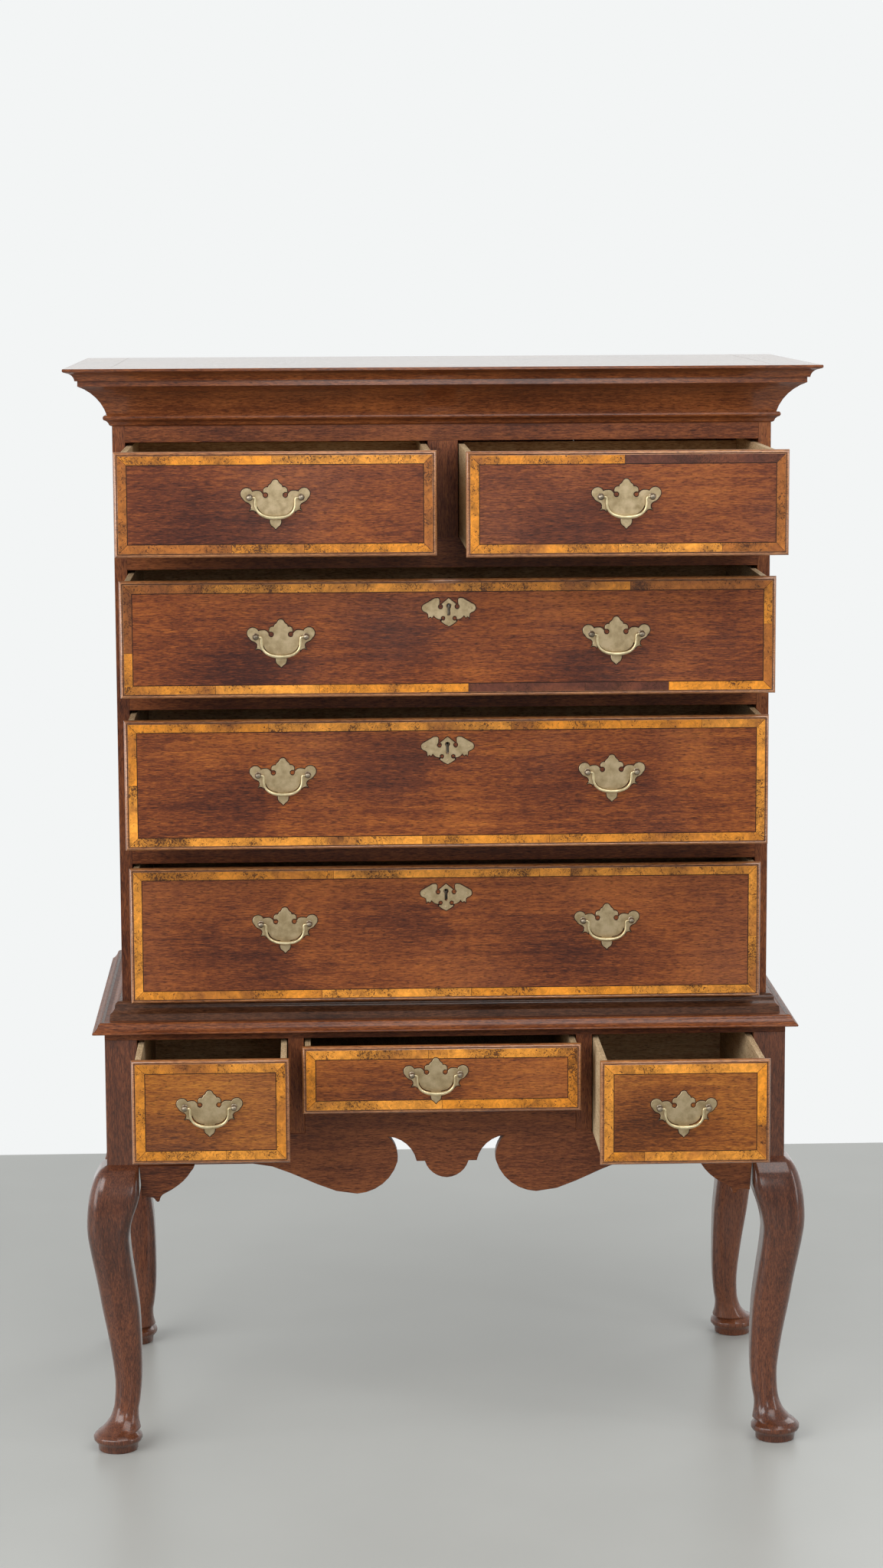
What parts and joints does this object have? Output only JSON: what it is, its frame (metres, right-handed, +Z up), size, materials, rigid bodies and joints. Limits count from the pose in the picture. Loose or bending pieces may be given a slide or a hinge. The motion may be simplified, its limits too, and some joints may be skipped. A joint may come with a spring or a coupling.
{
  "type": "highboy",
  "caption": "Tall chest of drawers on a stand with cabriole legs; lipped drawers with swinging bail handles slide out of an upper case and a lower stand.",
  "frame": {"origin": "on the floor, below the middle of the whole as it stands with its drawers drawn out", "axes": "+X to the viewer's right along the width, +Y from the drawer fronts to the back, +Z up"},
  "size_m": [1.07, 0.877, 1.586],
  "materials": {
    "case_wood": "waxed dark red-brown figured oak",
    "stand_wood": "waxed dark brown oak",
    "leg_wood": "polished dark brown oak",
    "drawer_front_wood": "waxed oak with golden burr crossbanding",
    "drawer_oak": "bare pale oak, dry",
    "hidden_wood": "bare oak, darkened with age",
    "brass_plate": "aged, dull",
    "brass_bail": "aged, rubbed bright",
    "steel": "worn"
  },
  "bodies": {
    "case": {"apron_front": "stand_wood", "base_moulding": "case_wood", "case_back_boards": "hidden_wood", "case_bottom_board": "hidden_wood", "case_muntin": "case_wood", "case_rails": "case_wood", "case_runners": "hidden_wood", "case_side_left": "case_wood", "case_side_right": "case_wood", "case_top_board": "case_wood", "cornice_moulding": "case_wood", "knee_brackets": "leg_wood", "leg_front_left": "leg_wood", "leg_front_right": "leg_wood", "leg_rear_left": "leg_wood", "leg_rear_right": "leg_wood", "stand_back_board": "hidden_wood", "stand_muntins": "stand_wood", "stand_runners": "hidden_wood", "stand_side_boards": "stand_wood", "stand_top_board": "stand_wood", "waist_moulding": "stand_wood"},
    "drawer_top_left": {"drawer_top_left_front": "drawer_front_wood", "drawer_top_left_box": "drawer_oak", "drawer_top_left_fittings": "brass_plate"},
    "drawer_top_right": {"drawer_top_right_front": "drawer_front_wood", "drawer_top_right_box": "drawer_oak", "drawer_top_right_fittings": "brass_plate"},
    "drawer_second": {"drawer_second_front": "drawer_front_wood", "drawer_second_box": "drawer_oak", "drawer_second_fittings": "brass_plate"},
    "drawer_third": {"drawer_third_front": "drawer_front_wood", "drawer_third_box": "drawer_oak", "drawer_third_fittings": "brass_plate"},
    "drawer_fourth": {"drawer_fourth_front": "drawer_front_wood", "drawer_fourth_box": "drawer_oak", "drawer_fourth_fittings": "brass_plate"},
    "drawer_stand_left": {"drawer_stand_left_front": "drawer_front_wood", "drawer_stand_left_box": "drawer_oak", "drawer_stand_left_fittings": "brass_plate"},
    "drawer_stand_middle": {"drawer_stand_middle_front": "drawer_front_wood", "drawer_stand_middle_box": "drawer_oak", "drawer_stand_middle_fittings": "brass_plate"},
    "drawer_stand_right": {"drawer_stand_right_front": "drawer_front_wood", "drawer_stand_right_box": "drawer_oak", "drawer_stand_right_fittings": "brass_plate"},
    "bail_fourth_left": {"bail_fourth_left": "brass_bail"},
    "bail_fourth_right": {"bail_fourth_right": "brass_bail"},
    "bail_second_left": {"bail_second_left": "brass_bail"},
    "bail_second_right": {"bail_second_right": "brass_bail"},
    "bail_stand_left": {"bail_stand_left": "brass_bail"},
    "bail_stand_middle": {"bail_stand_middle": "brass_bail"},
    "bail_stand_right": {"bail_stand_right": "brass_bail"},
    "bail_third_left": {"bail_third_left": "brass_bail"},
    "bail_third_right": {"bail_third_right": "brass_bail"},
    "bail_top_left": {"bail_top_left": "brass_bail"},
    "bail_top_right": {"bail_top_right": "brass_bail"},
    "lock_bolt_fourth": {"lock_bolt_fourth": "steel"},
    "lock_bolt_second": {"lock_bolt_second": "steel"},
    "lock_bolt_third": {"lock_bolt_third": "steel"}
  },
  "joints": [
    {"name": "drawer_top_left_slide", "type": "slide", "parent": "case", "child": "drawer_top_left", "axis": [0, -1, 0], "range_m": [-0.2727, 0.09275]},
    {"name": "drawer_top_right_slide", "type": "slide", "parent": "case", "child": "drawer_top_right", "axis": [0, -1, 0], "range_m": [-0.3077, 0.05775]},
    {"name": "drawer_second_slide", "type": "slide", "parent": "case", "child": "drawer_second", "axis": [0, -1, 0], "range_m": [-0.1847, 0.18075]},
    {"name": "drawer_third_slide", "type": "slide", "parent": "case", "child": "drawer_third", "axis": [0, -1, 0], "range_m": [-0.1187, 0.24675]},
    {"name": "drawer_fourth_slide", "type": "slide", "parent": "case", "child": "drawer_fourth", "axis": [0, -1, 0], "range_m": [-0.0407, 0.32475]},
    {"name": "drawer_stand_left_slide", "type": "slide", "parent": "case", "child": "drawer_stand_left", "axis": [0, -1, 0], "range_m": [-0.1327, 0.24588]},
    {"name": "drawer_stand_middle_slide", "type": "slide", "parent": "case", "child": "drawer_stand_middle", "axis": [0, -1, 0], "range_m": [-0.0577, 0.32088]},
    {"name": "drawer_stand_right_slide", "type": "slide", "parent": "case", "child": "drawer_stand_right", "axis": [0, -1, 0], "range_m": [-0.1727, 0.20588]},
    {"name": "bail_fourth_left_hinge", "type": "hinge", "parent": "drawer_fourth", "child": "bail_fourth_left", "pos_m": [-0.232, -0.16695, 0.79175], "axis": [-1, 0, 0], "range_deg": [0, 95]},
    {"name": "bail_fourth_right_hinge", "type": "hinge", "parent": "drawer_fourth", "child": "bail_fourth_right", "pos_m": [0.232, -0.16695, 0.79175], "axis": [-1, 0, 0], "range_deg": [0, 95]},
    {"name": "bail_second_left_hinge", "type": "hinge", "parent": "drawer_second", "child": "bail_second_left", "pos_m": [-0.232, -0.31095, 1.222], "axis": [-1, 0, 0], "range_deg": [0, 95]},
    {"name": "bail_second_right_hinge", "type": "hinge", "parent": "drawer_second", "child": "bail_second_right", "pos_m": [0.232, -0.31095, 1.222], "axis": [-1, 0, 0], "range_deg": [0, 95]},
    {"name": "bail_stand_left_hinge", "type": "hinge", "parent": "drawer_stand_left", "child": "bail_stand_left", "pos_m": [-0.341, -0.28445, 0.55125], "axis": [-1, 0, 0], "range_deg": [0, 95]},
    {"name": "bail_stand_middle_hinge", "type": "hinge", "parent": "drawer_stand_middle", "child": "bail_stand_middle", "pos_m": [-0.0175, -0.20945, 0.577], "axis": [-1, 0, 0], "range_deg": [0, 95]},
    {"name": "bail_stand_right_hinge", "type": "hinge", "parent": "drawer_stand_right", "child": "bail_stand_right", "pos_m": [0.328, -0.32445, 0.55125], "axis": [-1, 0, 0], "range_deg": [0, 95]},
    {"name": "bail_third_left_hinge", "type": "hinge", "parent": "drawer_third", "child": "bail_third_left", "pos_m": [-0.232, -0.24495, 1.0195], "axis": [-1, 0, 0], "range_deg": [0, 95]},
    {"name": "bail_third_right_hinge", "type": "hinge", "parent": "drawer_third", "child": "bail_third_right", "pos_m": [0.232, -0.24495, 1.0195], "axis": [-1, 0, 0], "range_deg": [0, 95]},
    {"name": "bail_top_left_hinge", "type": "hinge", "parent": "drawer_top_left", "child": "bail_top_left", "pos_m": [-0.23675, -0.39895, 1.41975], "axis": [-1, 0, 0], "range_deg": [0, 95]},
    {"name": "bail_top_right_hinge", "type": "hinge", "parent": "drawer_top_right", "child": "bail_top_right", "pos_m": [0.23425, -0.43395, 1.41975], "axis": [-1, 0, 0], "range_deg": [0, 95]},
    {"name": "lock_bolt_fourth_slide", "type": "slide", "parent": "drawer_fourth", "child": "lock_bolt_fourth", "axis": [0, 0, 1], "range_m": [0, 0.008]},
    {"name": "lock_bolt_second_slide", "type": "slide", "parent": "drawer_second", "child": "lock_bolt_second", "axis": [0, 0, 1], "range_m": [0, 0.008]},
    {"name": "lock_bolt_third_slide", "type": "slide", "parent": "drawer_third", "child": "lock_bolt_third", "axis": [0, 0, 1], "range_m": [0, 0.008]}
  ]
}
